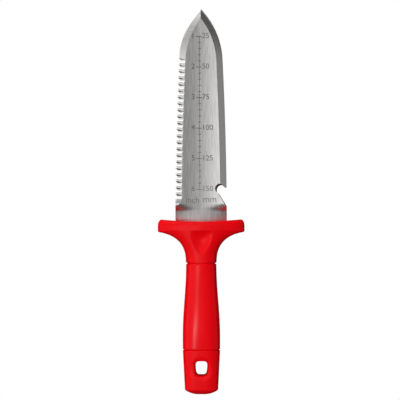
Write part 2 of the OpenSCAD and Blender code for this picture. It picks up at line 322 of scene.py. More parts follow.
def face_height(x, y, sizes):
    """Height of the blade's face. Its middle lies level with the flat base, and its sides rise from it
    by radius - sqrt(radius^2 - x^2), which fades in as (1 - cos(180 deg * f)) / 2, where f goes from 0
    to 1 over DISH_FADE."""
    x, y = np.asarray(x, float), np.asarray(y, float)
    fade = np.clip((y - Y_FRONT - DISH_GAP) / DISH_FADE, 0, 1)
    rise = sizes.dish_radius - np.sqrt(sizes.dish_radius**2 - x**2)
    return Z_MID + sizes.sheet / 2 + (1 - np.cos(np.pi * fade)) / 2 * rise


# ---------- handle surfaces ----------


AROUND = 240  # points round a moulding
# How many rings or steps the flare, the guard's ends, its front edge, the grip, the cap and the butt have.
FLARE_RINGS, END_RINGS, EDGE_STEPS, GRIP_RINGS, CAP_RINGS, BUTT_STEPS = 84, 5, 9, 62, 60, 16

# Roundness n of the handle's outlines across Y, at the front groove, the guard, the rear groove and
# the butt: 2 is an ellipse, and more is squarer.
NECK_N, GUARD_N, REAR_N, CAP_N = 2.5, 3.6, 3.0, 3.6
# Thickness of the handle at its two grooves, as shares of the grip's thickness at its widest.
NECK_SHARE, REAR_SHARE = 0.86, 0.96
GRIP_TAPER = 0.1 * MM  # what each side of the grip loses towards the rear
SWELL_SHARE = 0.85  # the grip is widest at this share of its length

# Half a groove: its length along Y, and how deep it cuts into the width and into the thickness.
GROOVE, GROOVE_SIDE, GROOVE_TOP = 0.8 * MM, 1.3 * MM, 0.6 * MM
GROOVE_STEPS = 7

# The thumb recess starts this far behind the guard's front.
RECESS_START, RECESS_LENGTH, RECESS_HALF_WIDTH, RECESS_DEPTH = 7.4 * MM, 19.4 * MM, 9.8 * MM, 2 * MM

# The hollow round the hanging hole, on both sides of the cap.
HOLLOW_HALF_WIDTH, HOLLOW_HALF_LENGTH, HOLLOW_DEPTH = 10.05 * MM, 10.3 * MM, 1 * MM


def moulding(rings, hollow_top=None, hollow_bottom=None):
    """Points of a moulded form, as closed rings carried along Y.

    A ring is half width, half thickness, half thickness at its ends, roundness n, Y at its middle and
    bend. At angle a, u = -cos(a) runs across it, and its point is (half width * u, Y + bend * u^2,
    middle + or - t * (1 - |u|^n)^(1/n)), where t goes to the ends' half thickness as |u|^1.5.
    The hollows are depths at a place, taken off its top and bottom. Its two ends fold flat.
    """
    rings = np.concatenate([rings[:1], rings, rings[-1:]])
    angle = np.linspace(0, 2 * np.pi, AROUND, endpoint=False)
    u = -np.cos(angle)[None, :]
    half_w, half_t, tip_t, n, y, bend = (column[:, None] for column in rings.T)
    lens = np.maximum(0, 1 - np.abs(u) ** n) ** (1 / n)
    rise = mix(half_t, tip_t, np.abs(u) ** 1.5) * lens
    rise[[0, -1]] = 0
    x = half_w * u
    along = y + bend * u * u
    upper = np.sin(angle)[None, :] >= 0
    z = Z_MID + np.where(upper, rise, -rise)
    if hollow_top:
        z[1:-1] -= np.where(upper, hollow_top(x, along), 0)[1:-1]
    if hollow_bottom:
        z[1:-1] += np.where(upper, 0, hollow_bottom(x, along))[1:-1]
    return np.stack([x, along, z], axis=-1)


def thumb_recess(x, y):
    """Depth of the thumb recess. f runs from 0 at its straight front to 1 at its round rear, and u
    across it, whose half width is RECESS_HALF_WIDTH * (1 - f^1.5)^0.55. The depth is RECESS_DEPTH *
    (1 - u^2)^1.4 * sin(180 deg * f^0.75)^1.1."""
    f = np.clip((Y_FRONT - RECESS_START - y) / RECESS_LENGTH, 1e-6, 1 - 1e-6)
    u = x / (RECESS_HALF_WIDTH * (1 - f**1.5) ** 0.55)
    return RECESS_DEPTH * np.maximum(0, 1 - u * u) ** 1.4 * np.sin(np.pi * f**0.75) ** 1.1


def hole_hollow(x, y):
    """Depth of the hollow round the hanging hole: HOLLOW_DEPTH * (1 - r^2)^1.3, where r is 0 at the
    hole's middle and 1 on the hollow's oval rim."""
    r_squared = (x / HOLLOW_HALF_WIDTH) ** 2 + ((y - HOLE_Y) / HOLLOW_HALF_LENGTH) ** 2
    return HOLLOW_DEPTH * np.maximum(0, 1 - r_squared) ** 1.3


def groove_rows():
    """Rounded end of a moulding: distances from the end, and insets of its width and thickness. The
    groove is a V at the sides and a quarter round above and below."""
    a = quarter(GROOVE_STEPS)[::-1]
    near = GROOVE * (1 - np.sin(a))
    return near, GROOVE_SIDE * (1 - near / GROOVE), GROOVE_TOP * (1 - np.cos(a))


def guard_rings(sizes):
    """Rings of the guard and neck from the front groove to the front face, at distances forward from
    the groove.

    The ends of the rings follow a cubic curve that flares from the neck to the guard's ends, then run
    along Y, and the front edge is a quarter round. At a share of the curve, the ring's middle lies at
    share^1.1 of the flare, and its thickness and roundness have grown by share^1.6.
    """
    neck, half = sizes.neck_width / 2, sizes.guard_width / 2
    neck_t = sizes.grip_thickness * NECK_SHARE / 2
    thick, tip = sizes.guard_thickness / 2, sizes.guard_tip / 2
    length = Y_FRONT - Y_GROOVE_FRONT
    flare_start, flare_end = 2 * MM, length - 8.4 * MM
    flare_top = flare_end + 1.9 * MM
    end_low = flare_end + 0.8 * MM
    end_high = end_low + 4.2 * MM
    corner_x, front_r = 2.9 * MM, 2.6 * MM
    rows = []
    for d, side, flat in zip(*groove_rows()):
        rows.append((neck - side, neck_t - flat, neck_t - flat, NECK_N, d, 0.0))
    # The curve's four points: half width, and distance from the groove at the ring's ends.
    p0, p1, p2, p3 = np.array(
        [
            [neck + 0.25 * MM, flare_start],
            [neck + 0.3 * MM, flare_end - 9 * MM],
            [neck + 9.5 * MM, flare_end - 2.4 * MM],
            [half - 0.8 * MM, flare_end - 0.3 * MM],
        ]
    )
    t = np.linspace(0, 1, FLARE_RINGS)[:, None]
    curve = (1 - t) ** 3 * p0 + 3 * t * (1 - t) ** 2 * p1 + 3 * t * t * (1 - t) * p2 + t**3 * p3
    for share, (w, y_end) in zip(t[:, 0], curve):
        y = mix(flare_start, flare_top, share**1.1)
        grow = share**1.6
        t_mid, t_end = mix(neck_t, thick, grow), mix(neck_t, tip, grow)
        rows.append((w, t_mid, t_end, mix(NECK_N, GUARD_N, grow), y, y_end - y))
    # One ring eases the flare into the guard's ends.
    y = mix(flare_top, length - front_r, 0.1)
    rows.append((half - 0.2 * MM, thick, tip, GUARD_N, y, mix(p3[1], end_low, 0.5) - y))
    for f in np.linspace(0, 1, END_RINGS):
        y = mix(flare_top, length - front_r, mix(0.25, 1, f))
        rows.append((half, thick, tip, GUARD_N, y, mix(end_low, end_high, f) - y))
    for a in quarter(EDGE_STEPS)[1:]:
        y = length - front_r * (1 - np.sin(a))
        y_end = mix(end_high, length + GUARD_BOW, np.sin(a))
        inset = 1 - np.cos(a)
        cut = front_r * inset
        rows.append((half - corner_x * inset, thick - cut, tip - cut, GUARD_N, y, y_end - y))
    rows = np.array(rows)
    rows[:, 4] += Y_GROOVE_FRONT
    return rows


def grip_rings(sizes):
    """Rings of the grip from its front groove to its rear one. Its width and thickness swell along a
    half cosine that ends at SWELL_SHARE of its length. Each side also loses GRIP_TAPER * f, and the
    thickness falls as f^4 to that of the rear groove, where f goes from 0 to 1 along the grip."""
    length = Y_GROOVE_FRONT - Y_GROOVE_REAR
    near, side, flat = groove_rows()
    middle = np.linspace(GROOVE, length - GROOVE, GRIP_RINGS)[1:-1]
    distance = np.concatenate([near, middle, length - near[::-1]])
    side, flat = (np.concatenate([inset, 0 * middle, inset[::-1]]) for inset in (side, flat))
    f = distance / length
    swell = (1 - np.cos(np.pi * np.clip(f / SWELL_SHARE, 0, 1))) / 2
    neck_t, rear_t = sizes.grip_thickness * NECK_SHARE, sizes.grip_thickness * REAR_SHARE
    half_w = mix(sizes.neck_width, sizes.grip_width, swell) / 2 - side - GRIP_TAPER * f
    half_t = mix(neck_t, sizes.grip_thickness, swell) / 2 - flat
    half_t -= (sizes.grip_thickness - rear_t) / 2 * f**4
    n = mix(NECK_N, REAR_N, f)
    return np.stack([half_w, half_t, half_t, n, Y_GROOVE_FRONT - distance, 0 * f], axis=1)


def cap_rings(sizes):
    """Rings of the butt cap from the rear groove to the butt. It tapers, and its end is rounded: at a
    share d of the end's length its half width loses round * (1 - (1 - d^1.4)^(1/1.4)), and its half
    thickness 0.6 of that."""
    length, end, round_r = Y_GROOVE_REAR - Y_REAR, 3.8 * MM, 8.4 * MM
    near, side, flat = groove_rows()
    middle = np.linspace(GROOVE, length - end, CAP_RINGS)[1:]
    d = np.sin(quarter(BUTT_STEPS))[1:]
    round_off = round_r * (1 - (1 - d**1.4) ** (1 / 1.4))
    distance = np.concatenate([near, middle, length - end + end * d])
    side = np.concatenate([side, 0 * middle, round_off])
    flat = np.concatenate([flat, 0 * middle, 0.6 * round_off])
    f = distance / (length - end)
    half_w = mix(sizes.grip_width - 2 * GRIP_TAPER, sizes.cap_width, f) / 2 - side
    half_t = mix(sizes.grip_thickness * REAR_SHARE, sizes.cap_thickness, f) / 2 - flat
    n = mix(REAR_N, CAP_N, np.minimum(1, f))
    return np.stack([half_w, half_t, half_t, n, Y_GROOVE_REAR - distance, 0 * f], axis=1)


# The hanging hole at its narrowest: half widths at its front and rear, half length, and its
# outline's power. Its rims are rounded by HOLE_RIM, and its walls slope by HOLE_DRAFT.
HOLE_FRONT, HOLE_REAR, HOLE_HALF_LENGTH, HOLE_POWER = 5.05 * MM, 4.15 * MM, 5.3 * MM, 3.6
HOLE_RIM, HOLE_DRAFT = 0.8 * MM, 0.9 / 9.5
# Millimetres from the middle plane to the cap's face at the hole's middle, and its rise to the front.
HOLE_TOP, HOLE_LEAN = 9.85, 0.33
HOLE_AROUND, RIM_STEPS = 96, 7


def hole_cutter():
    """A rounded four-sided plug, narrowest half way up, whose walls stand back by the mould's draft and
    flare at both rims, so the rims are rounded.

    At angle a its outline reaches (|cos a|^p + |sin a|^p)^(-1/p) of its half width and half length, and
    the half width shrinks towards the rear. Its rings go up along Z, and the flare grows by
    rim * (1 - cos) below the cap's face, which sinks a little towards the rear."""
    past = 4 * MM
    a = np.linspace(0, 2 * np.pi, HOLE_AROUND, endpoint=False)
    c, s = np.cos(a), np.sin(a)
    reach = (np.abs(c) ** HOLE_POWER + np.abs(s) ** HOLE_POWER) ** (-1 / HOLE_POWER)
    u, v = c * reach, s * reach
    height = ((HOLE_TOP + HOLE_LEAN * v) * MM)[None, :]
    level = 0 * height
    swing = quarter(RIM_STEPS)[:, None]
    up = np.concatenate([level, height - HOLE_RIM * (1 - np.sin(swing)), height + past])
    grow = np.concatenate([level, HOLE_RIM * (1 - np.cos(swing)) + level, level + HOLE_RIM + past])
    z = np.concatenate([-up[::-1], up[1:]])
    grow = np.concatenate([grow[::-1], grow[1:]]) + HOLE_DRAFT * np.abs(z)
    x = u * (mix(HOLE_REAR, HOLE_FRONT, (v + 1) / 2) + grow)
    y = HOLE_Y + v * (HOLE_HALF_LENGTH + grow)
    points = np.stack([x, y, Z_MID + z], axis=-1)
    ends = points[[0, -1]].mean(axis=1, keepdims=True) + np.zeros((2, HOLE_AROUND, 3))
    points = np.concatenate([ends[:1], points, ends[1:]])
    return add_object("hole_cutter", closed_mesh("hole_cutter", points, wrapped_quads(*points.shape[:2])))


# ---------- materials ----------


def node(tree, kind, inputs=None, **settings):
    """Adds a node. settings are its own properties; inputs are sockets to link or values to set."""
    made = tree.nodes.new(kind)
    for key, value in settings.items():
        setattr(made, key, value)
    for key, value in (inputs or {}).items():
        if isinstance(value, bpy.types.NodeSocket):
            tree.links.new(value, made.inputs[key])
        else:
            made.inputs[key].default_value = value
    return made


def new_material(name):
    """An empty node material and its tree."""
    made = bpy.data.materials.new(name)
    made.use_nodes = True
    made.node_tree.nodes.clear()
    return made, made.node_tree


def object_noise(tree, size, detail=2.0):
    """Noise on object coordinates whose grain has these lengths along X, Y and Z, in metres."""
    here = node(tree, "ShaderNodeTexCoord")
    scaled = node(
        tree,
        "ShaderNodeMapping",
        {"Vector": here.outputs["Object"], "Scale": tuple(1 / length for length in size)},
    )
    return node(
        tree,
        "ShaderNodeTexNoise",
        {"Vector": scaled.outputs["Vector"], "Scale": 1.0, "Detail": detail},
    )


# The flat base springs back from the press into a low crown, and leans down by CROWN_DROP.
CROWN_RADIUS, CROWN_DROP = 125 * MM, 0.7 * MM


def base_crown(tree):
    """Bends light as the crown of the blade's base does: height = -fade * (x^2 / (2 * radius) + drop),
    and fade goes from 1 at the guard to 0 where the hollow is half in."""
    here = node(tree, "ShaderNodeTexCoord")
    axes = node(tree, "ShaderNodeSeparateXYZ", {0: here.outputs["Object"]})
    fade = node(
        tree,
        "ShaderNodeMapRange",
        {
            "Value": axes.outputs["Y"],
            "From Min": Y_FRONT,
            "From Max": Y_FRONT + DISH_GAP + DISH_FADE / 2,
            "To Min": -0.5 / CROWN_RADIUS,
            "To Max": 0.0,
        },
    )
    square = node(tree, "ShaderNodeMath", {0: axes.outputs["X"], 1: axes.outputs["X"]}, operation="MULTIPLY")
    square = node(
        tree,
        "ShaderNodeMath",
        {0: square.outputs[0], 1: 2 * CROWN_RADIUS * CROWN_DROP},
        operation="ADD",
    )
    height = node(tree, "ShaderNodeMath", {0: square.outputs[0], 1: fade.outputs[0]}, operation="MULTIPLY")
    return node(tree, "ShaderNodeBump", {"Height": height.outputs[0], "Distance": 1.0, "Strength": 1.0})


# Lengths of the steel's grinding lines along X, Y and Z. Real ones are under 0.1 mm wide, and these
# are as coarse as they need to be to show.
BELT_LINES = (0.8 * MM, 12 * MM, 0.8 * MM)
BEVEL_LINES = (8 * MM, 0.5 * MM, 8 * MM)
CUTTER_LINES = (0.5 * MM, 8 * MM, 0.5 * MM)
LINE_DEPTH = 0.004 * MM


def brushed_steel(name, colour, line, roughness, tangent, tone):
    """Martensitic stainless steel, ground with a belt. Fine lines along the belt stretch its reflections
    across them, so it shows soft bands from light to dark instead of a mirror image. tone is how much
    lighter and darker the lines are."""
    made, tree = new_material(name)
    noise = object_noise(tree, line)
    ramp = node(
        tree,
        "ShaderNodeMapRange",
        {"Value": noise.outputs["Fac"], "To Min": 1 - tone, "To Max": 1 + tone},
    )
    tint = node(tree, "ShaderNodeVectorMath", {0: colour, "Scale": ramp.outputs["Result"]}, operation="SCALE")
    rough = node(
        tree,
        "ShaderNodeMapRange",
        {"Value": noise.outputs["Fac"], "To Min": roughness - 0.05, "To Max": roughness + 0.05},
    )
    crown = base_crown(tree)
    bump = node(
        tree,
        "ShaderNodeBump",
        {
            "Height": noise.outputs["Fac"],
            "Distance": LINE_DEPTH,
            "Strength": 0.5,
            "Normal": crown.outputs["Normal"],
        },
    )
    across = node(tree, "ShaderNodeCombineXYZ", {"X": tangent[0], "Y": tangent[1], "Z": tangent[2]})
    shader = node(
        tree,
        "ShaderNodeBsdfPrincipled",
        {
            "Base Color": tint.outputs["Vector"],
            "Metallic": 1.0,
            "Roughness": rough.outputs["Result"],
            "Anisotropic": 0.45,
            "Tangent": across.outputs["Vector"],
            "Normal": bump.outputs["Normal"],
        },
    )
    node(tree, "ShaderNodeOutputMaterial", {"Surface": shader.outputs["BSDF"]})
    return made


# From the first place along Y to the second, the share of bare steel in the etching goes from the
# first share to the second.
ETCH_FRONT_Y, ETCH_BASE_Y, ETCH_FRONT, ETCH_BASE = 50 * MM, -5 * MM, 0.1, 0.38
ETCH_MOTTLE = 0.5 * MM  # across a patch of thicker or thinner oxide


def etched_steel(colour, steel):
    """Stainless steel darkened by electrochemical etching: a matt grey oxide, fainter towards the guard."""
    made, tree = new_material("stainless_steel_etched")
    noise = object_noise(tree, (ETCH_MOTTLE, ETCH_MOTTLE, ETCH_MOTTLE))
    ramp = node(tree, "ShaderNodeMapRange", {"Value": noise.outputs["Fac"], "To Min": 0.8, "To Max": 1.25})
    here = node(tree, "ShaderNodeTexCoord")
    axes = node(tree, "ShaderNodeSeparateXYZ", {0: here.outputs["Object"]})
    faint = node(
        tree,
        "ShaderNodeMapRange",
        {
            "Value": axes.outputs["Y"],
            "From Min": ETCH_FRONT_Y,
            "From Max": ETCH_BASE_Y,
            "To Min": ETCH_FRONT,
            "To Max": ETCH_BASE,
        },
    )
    blend = node(
        tree,
        "ShaderNodeMix",
        {"Factor": faint.outputs["Result"], 6: (*colour, 1), 7: (*steel, 1)},
        data_type="RGBA",
    )
    tint = node(
        tree,
        "ShaderNodeVectorMath",
        {0: blend.outputs[2], "Scale": ramp.outputs["Result"]},
        operation="SCALE",
    )
    shader = node(
        tree,
        "ShaderNodeBsdfPrincipled",
        {"Base Color": tint.outputs["Vector"], "Metallic": 0.3, "Roughness": 0.7},
    )
    node(tree, "ShaderNodeOutputMaterial", {"Surface": shader.outputs["BSDF"]})
    return made


PIGMENT_CLOUD = 14 * MM  # across a patch of slightly lighter or darker pigment


def moulded_plastic(name, colour, roughness, grain, depth, gloss):
    """An injection moulded plastic with the spark-eroded grain of its mould, which breaks its shine
    into a soft sheen, and a slow cloud in its pigment. The real grain is about 0.1 mm across, and this
    one is as coarse as it needs to be to show."""
    made, tree = new_material(name)
    noise = object_noise(tree, (grain, grain, grain), 3.0)
    cloud = object_noise(tree, (PIGMENT_CLOUD, PIGMENT_CLOUD, PIGMENT_CLOUD))
    tone = node(tree, "ShaderNodeMapRange", {"Value": cloud.outputs["Fac"], "To Min": 0.94, "To Max": 1.06})
    tint = node(tree, "ShaderNodeVectorMath", {0: colour, "Scale": tone.outputs["Result"]}, operation="SCALE")
    rough = node(
        tree,
        "ShaderNodeMapRange",
        {"Value": noise.outputs["Fac"], "To Min": roughness - 0.04, "To Max": roughness + 0.04},
    )
    bump = node(tree, "ShaderNodeBump", {"Height": noise.outputs["Fac"], "Distance": depth, "Strength": 0.6})
    shader = node(
        tree,
        "ShaderNodeBsdfPrincipled",
        {
            "Base Color": tint.outputs["Vector"],
            "Roughness": rough.outputs["Result"],
            "IOR": 1.49,
            "Specular IOR Level": gloss,
            "Normal": bump.outputs["Normal"],
        },
    )
    node(tree, "ShaderNodeOutputMaterial", {"Surface": shader.outputs["BSDF"]})
    return made


# ---------- blade ----------


PAINTED_SHADE_TONE = 0.3  # painted shade: the teeth's rear flanks and the notch walls get this share of the steel's colour, darker than the ground bevel
SMOOTH_DEGREES = 12  # edges turn sharp past this

# The blade's finishes, in the order of its material slots.
BRUSHED, GROUND, PAINTED_SHADE = 0, 1, 2
# The teeth lie this near the left edge and this far in front of the guard.
TEETH_BAND, TEETH_START = 5 * MM, 14 * MM
# The notch lies this far right of the middle, and no further than this in front of the guard.
NOTCH_LEFT, NOTCH_FRONT = 8 * MM, 34 * MM
FACE_TOLERANCE = 0.06 * MM  # what lies this near the face's own height is brushed, not ground


def blade_finishes(mesh, sizes):
    """The finish of each face of the blade, from where its middle lies and where it points: toward_y
    and toward_z are how much it points forward and up, from -1 to 1. The flanks point to the rear. The
    teeth's rear flanks and the notch walls get the darkened steel, which is painted shade."""
    x, y, z = vectors(mesh.polygons, "center").T
    _, toward_y, toward_z = vectors(mesh.polygons, "normal").T
    on_face = (np.abs(z - face_height(x, y, sizes)) < FACE_TOLERANCE) & (toward_z > 0.5)
    on_back = toward_z < -0.7
    in_teeth = (x < TEETH_BAND - sizes.base_width / 2) & (y > Y_FRONT + TEETH_START)
    # painted shade: the teeth's rear flanks and the notch walls are picked out here to be painted darker
    flank = in_teeth & (toward_y < -0.35) & (toward_z > -0.5)
    notch = (x > NOTCH_LEFT) & (y < Y_FRONT + NOTCH_FRONT) & (np.abs(toward_z) < 0.9)
    return np.where(on_face | on_back, BRUSHED, np.where(flank | notch, PAINTED_SHADE, GROUND))


class TROWEL_OT_blade(bpy.types.Operator):
    """Finish the ground and serrated steel blade"""

    bl_idname = "trowel.blade"
    bl_label = "Blade"

    def execute(self, context):
        sizes = context.scene.trowel_blade
        points, faces = node_arrays("blade")
        mesh = add_piece("blade_ground", points, faces, "blade").data
        mesh.set_sharp_from_angle(angle=math.radians(SMOOTH_DEGREES))
        steel = tuple(sizes.steel)
        # painted shade: a darkened copy of the steel colour for the teeth's rear flanks and the notch walls
        painted_shade = tuple(PAINTED_SHADE_TONE * part for part in steel)
        # The face's lines run along the blade, the bevels' across it, and the cutter's round its flanks.
        for name, colour, line, roughness, tangent, tone in (
            ("stainless_steel_brushed", steel, BELT_LINES, 0.4, (1, 0, 0), 0.35),
            ("stainless_steel_ground", steel, BEVEL_LINES, 0.24, (0, 1, 0), 0.08),
            # the third finish's darker colour is painted shade
            ("stainless_steel_milled", painted_shade, CUTTER_LINES, 0.4, (0, 0, 1), 0.08),
        ):
            mesh.materials.append(brushed_steel(name, colour, line, roughness, tangent, tone))
        finish = blade_finishes(mesh, sizes)
        mesh.polygons.foreach_set("material_index", finish.astype(np.int32))
        return {"FINISHED"}


# ---------- depth scale ----------


# Numbers of millimetres between ticks and between marks, and how many marks there are.
TICK_MM, MARK_MM, MARKS = 5, 25, 6
# The line down the scale, the strokes of its ticks, and the ticks' left and right ends.
LINE_X, LINE_WIDTH, STROKE = -1.1 * MM, 0.4 * MM, 0.55 * MM
MARK_ENDS, TICK_ENDS = (-3.9 * MM, 1.0 * MM), (-2.2 * MM, 0.1 * MM)
# The left numbers' middle, where the right numbers start (two digits, three digits), and how far the
# numbers' middles lie in front of their marks.
LEFT_X, RIGHT_X, RIGHT_X_LONG, NUMBER_RISE = -6.3 * MM, 1.2 * MM, 2.0 * MM, 0.7 * MM
# The unit words: place across, distance from the point, and capital height.
INCH_X, INCH_DOWN, INCH_HEIGHT = -7.0 * MM, 156.7 * MM, 4.9 * MM
MM_X, MM_DOWN, MM_HEIGHT = 1.7 * MM, 156.8 * MM, 5.4 * MM
CAPITAL_SHARE = 0.72  # height of the font's capitals, as a share of its size
ETCH_LIFT = 0.03 * MM  # the scale lies this far above the face, so that it shows


class TROWEL_OT_scale(bpy.types.Operator):
    """Etch the depth scale into the hollow face of the blade"""

    bl_idname = "trowel.scale"
    bl_label = "Depth scale"

    def execute(self, context):
        sizes = context.scene.trowel_blade
        top, height = sizes.first_mark, sizes.digit_height
        last = top + (MARKS - 1) * MARK_MM * MM
        bars = [rectangle(LINE_X - LINE_WIDTH / 2, LINE_X + LINE_WIDTH / 2, Y_TIP - last, Y_TIP - top)]
        for i in range((MARKS - 1) * MARK_MM // TICK_MM + 1):
            down = top + i * TICK_MM * MM
            left, right = TICK_ENDS if i * TICK_MM % MARK_MM else MARK_ENDS
            bars.append(rectangle(left, right, Y_TIP - down - STROKE / 2, Y_TIP - down + STROKE / 2))
        meshes = [flat_mesh("depth_ticks", bars)]
        for i in range(MARKS):
            y = Y_TIP - top - i * MARK_MM * MM + NUMBER_RISE
            number = str(MARK_MM * (i + 1))
            meshes.append(words(str(i + 1), LEFT_X, y, height, centred=True))
            meshes.append(words(number, RIGHT_X_LONG if len(number) > 2 else RIGHT_X, y, height))
        meshes.append(words("inch", INCH_X, Y_TIP - INCH_DOWN, INCH_HEIGHT, centred=True))
        meshes.append(words("mm", MM_X, Y_TIP - MM_DOWN, MM_HEIGHT))
        scale = add_object("depth_scale", joined("depth_scale", [drape(mesh, sizes) for mesh in meshes]))
        scale.data.materials.append(etched_steel(tuple(sizes.etch), tuple(sizes.steel)))
        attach(scale, BODY)
        return {"FINISHED"}


def rectangle(x0, x1, y0, y1):
    """Corners of a flat rectangle."""
    return np.array([(x0, y0, 0), (x1, y0, 0), (x1, y1, 0), (x0, y1, 0)])


def flat_mesh(name, rectangles):
    """Separate flat faces."""
    mesh = bpy.data.meshes.new(name)
    points = np.concatenate(rectangles)
    mesh.from_pydata(points.tolist(), [], np.arange(len(points)).reshape(-1, 4).tolist())
    return mesh


def words(text, x, y, height, centred=False):
    """A number or a unit as a flat mesh, which starts at x or is centred on it, with its middle at y.
    A number is as high as height, and a unit's capitals would be."""
    curve = bpy.data.curves.new(text, "FONT")
    curve.body, curve.size, curve.resolution_u = text, 1.0, 4
    maker = add_object(text, curve)
    mesh = evaluated_mesh(maker)
    bpy.data.objects.remove(maker)
    places = vectors(mesh.vertices, "co")
    low, high = places.min(0), places.max(0)
    size = height / (high[1] - low[1]) if text.isdigit() else height / CAPITAL_SHARE
    middle = (low + high) / 2
    if not centred:
        x = x + (high[0] - low[0]) / 2 * size
    places = (places - middle) * size + np.array([x, y, 0])
    mesh.vertices.foreach_set("co", places.astype(np.float32).ravel())
    return mesh


def drape(mesh, sizes):
    """Lays a flat mesh on the hollow face."""
    places = vectors(mesh.vertices, "co").astype(float)
    places[:, 2] = face_height(places[:, 0], places[:, 1], sizes) + ETCH_LIFT
    mesh.vertices.foreach_set("co", places.astype(np.float32).ravel())
    return mesh


def joined(name, meshes):
    """One mesh of triangles from several meshes."""
    work = bmesh.new()
    for mesh in meshes:
        work.from_mesh(mesh)
    bmesh.ops.triangulate(work, faces=work.faces)
    whole = bpy.data.meshes.new(name)
    work.to_mesh(whole)
    work.free()
    return whole


# ---------- handle ----------


class TROWEL_OT_core(bpy.types.Operator):
    """Finish the hidden core that the handle is moulded round"""

    bl_idname = "trowel.core"
    bl_label = "Core"

    def execute(self, context):
        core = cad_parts["tang_core"]
        black = moulded_plastic(
            "nylon_moulded",
            linear("2A2A2C"),
            roughness=0.5,
            grain=0.6 * MM,
            depth=0.02 * MM,
            gloss=0.1,
        )
        core.data.materials.clear()
        core.data.materials.append(black)
        return {"FINISHED"}


class TROWEL_OT_guard(bpy.types.Operator):
    """Add the moulded guard and neck with its thumb recess"""

    bl_idname = "trowel.guard"
    bl_label = "Guard"

    def execute(self, context):
        sizes = context.scene.trowel_handle
        points = moulding(guard_rings(sizes), thumb_recess)
        guard = add_piece("guard_shell", points, wrapped_quads(*points.shape[:2]), "guard")
        guard.data.materials.append(
            moulded_plastic(
                "polypropylene_moulded",
                tuple(sizes.hard_red),
                roughness=0.36,
                grain=0.8 * MM,
                depth=0.01 * MM,
                gloss=0.07,
            )
        )
        return {"FINISHED"}


class TROWEL_OT_grip(bpy.types.Operator):
    """Add the soft grip sleeve"""

    bl_idname = "trowel.grip"
    bl_label = "Grip"

    def execute(self, context):
        sizes = context.scene.trowel_handle
        points = moulding(grip_rings(sizes))
        grip = add_piece("grip_skin", points, wrapped_quads(*points.shape[:2]), "grip_sleeve")
        grip.data.materials.append(
            moulded_plastic(
                "elastomer_moulded",
                tuple(sizes.soft_red),
                roughness=0.22,
                grain=0.6 * MM,
                depth=0.006 * MM,
                gloss=0.08,
            )
        )
        return {"FINISHED"}


RIM_DEGREES = 35  # the cap's edges turn sharp past this


class TROWEL_OT_cap(bpy.types.Operator):
    """Add the butt cap with its hanging hole"""

    bl_idname = "trowel.cap"
    bl_label = "Butt cap"

    def execute(self, context):
        sizes = context.scene.trowel_handle
        points = moulding(cap_rings(sizes), hole_hollow, hole_hollow)
        cap = add_piece("cap_shell", points, wrapped_quads(*points.shape[:2]), "butt_cap")
        cap.data.materials.append(bpy.data.materials["polypropylene_moulded"])
        cutter = hole_cutter()
        cut = cap.modifiers.new("hanging hole", "BOOLEAN")
        cut.object, cut.solver = cutter, "EXACT"
        whole = evaluated_mesh(cap)
        cap.modifiers.clear()
        cap.data = whole
        whole.shade_smooth()
        whole.set_sharp_from_angle(angle=math.radians(RIM_DEGREES))
        bpy.data.objects.remove(cutter)
        return {"FINISHED"}


# ---------- studio ----------


FLOOR_HALF = 6  # metres

# What the floor gives to a glossy ray: FLOOR_GLOSS, times two fades, each an axis, where it starts
# and ends, and its share at its start and its end.
FLOOR_GLOSS = 0.9
FLOOR_FADES = (("X", -0.01, 0.01, 1.0, 0.05), ("Y", -0.02, 0.0, 0.05, 1.0))

# The studio's soft panels, added up. A panel is a product of smooth fades, each an axis, where it
# starts and ends on the sky's unit sphere, and its strength at its start and its end.
SKY_PANELS = (
    (
        ("X", -0.5, 0.1, 1.8, 0.41),
        ("Y", -0.45, -0.1, 0.15, 1.0),
        ("Y", 0.06, 0.34, 1.0, 0.25),
        ("Z", 0.05, 0.45, 0.45, 1.0),
    ),
    (("X", -0.2, 0.25, 1.0, 0.0), ("Y", 0.45, 0.85, 0.0, 3.5), ("Z", 0.05, 0.4, 0.1, 1.0)),
    (("Z", 0.2, 0.5, 0.5, 0.0),),
)

# The lamps: name, place, width, length, the setting that gives the power, and whether it lights the
# plastic alone. The steel is lit by the sky, and such a lamp would wash it out.
LAMPS = (
    ("strip", (-0.28, -0.19, 1.25), 0.03, 0.26, "key_power", True),
    ("front", (0.1, 0.4, 1.2), 0.7, 0.3, "front_power", True),
    ("fill", (0.15, 0.3, 1.5), 1.2, 1.2, "fill_power", False),
)
LAMP_TARGET = (0, -0.08, 0)
PLASTIC_PIECES = ("guard_shell", "grip_skin", "cap_shell")

WHITE = (1, 1, 1, 1)
FRAME_PIXELS, SENSOR_MM = 400, 36.0
# The camera stands off the tool's middle by so many picture elements across and along it, and this
# much towards the rear.
CAMERA_ACROSS, CAMERA_ALONG, CAMERA_BACK = -1.1, 1.35, 0.25 * MM


